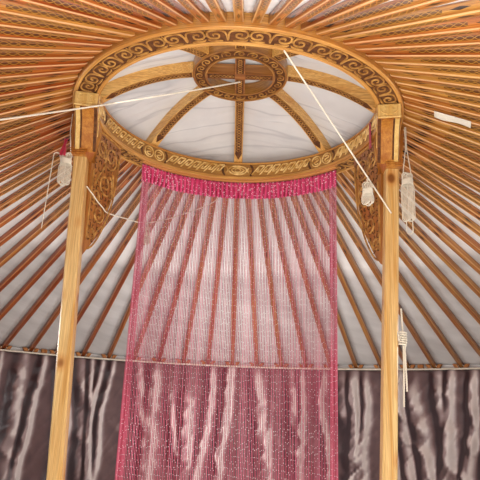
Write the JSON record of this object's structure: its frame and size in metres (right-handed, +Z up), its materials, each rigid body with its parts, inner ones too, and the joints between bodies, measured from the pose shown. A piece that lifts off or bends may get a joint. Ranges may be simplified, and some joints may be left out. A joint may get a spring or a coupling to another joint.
{
  "type": "yurt",
  "caption": "Round felt tent with a lattice wall, straight roof poles, a domed crown on two posts, felt covers, a wall curtain and a string curtain.",
  "frame": {"origin": "on the ground at the centre of the round floor", "axes": "+Z up, +Y towards the back wall, the doorway looks along -Y"},
  "size_m": [5.766, 5.766, 2.807],
  "materials": {
    "crown_wood": "varnished, with dark painted ornament",
    "pole_wood": "varnished orange brown",
    "lattice_wood": "bare",
    "post_wood": "clear varnish",
    "capital_wood": "varnished",
    "bracket_wood": "varnished, carved",
    "white_canvas": "plain weave over felt",
    "webbing": "woven band",
    "satin": "silky satin",
    "door_paint": "gloss paint",
    "header_cloth": "gathered",
    "curtain_string": "fine strings with glitter",
    "cord": "twisted cord"
  },
  "bodies": {
    "root": {"crown_ring": "crown_wood", "crown_hub": "crown_wood", "crown_cross": "crown_wood", "crown_ribs": "crown_wood", "roof_poles_right": "pole_wood", "roof_poles_back": "pole_wood", "roof_poles_left": "pole_wood", "roof_poles_front": "pole_wood", "lattice_1": "lattice_wood", "lattice_2": "lattice_wood", "lattice_3": "lattice_wood", "lattice_4": "lattice_wood", "lattice_5": "lattice_wood", "post_left": "post_wood", "post_right": "post_wood", "capital_left": "capital_wood", "capital_right": "capital_wood", "bracket_left": "bracket_wood", "bracket_right": "bracket_wood", "wall_felt_1": "white_canvas", "wall_felt_2": "white_canvas", "wall_felt_3": "white_canvas", "wall_felt_4": "white_canvas", "wall_felt_5": "white_canvas", "wall_felt_6": "white_canvas", "roof_felt_right": "white_canvas", "roof_felt_back": "white_canvas", "roof_felt_left": "white_canvas", "roof_felt_front": "white_canvas", "crown_cloth": "white_canvas", "crown_cloth_ties": "webbing", "wall_girths": "webbing", "wall_top_cord": "cord", "wall_curtain_1": "satin", "wall_curtain_2": "satin", "wall_curtain_3": "satin", "wall_curtain_4": "satin", "door_jamb_left": "door_paint", "door_jamb_right": "door_paint", "door_lintel": "door_paint", "door_threshold": "door_paint", "door_leaf": "door_paint", "curtain_header": "header_cloth", "curtain_strings": "curtain_string", "crown_tether": "cord", "rim_cord": "cord", "rim_cord_bundle": "cord", "slack_cord": "cord", "slack_cord_bundle": "cord", "hank_left": "cord", "hank_right": "cord", "post_knot": "cord"}
  },
  "joints": []
}
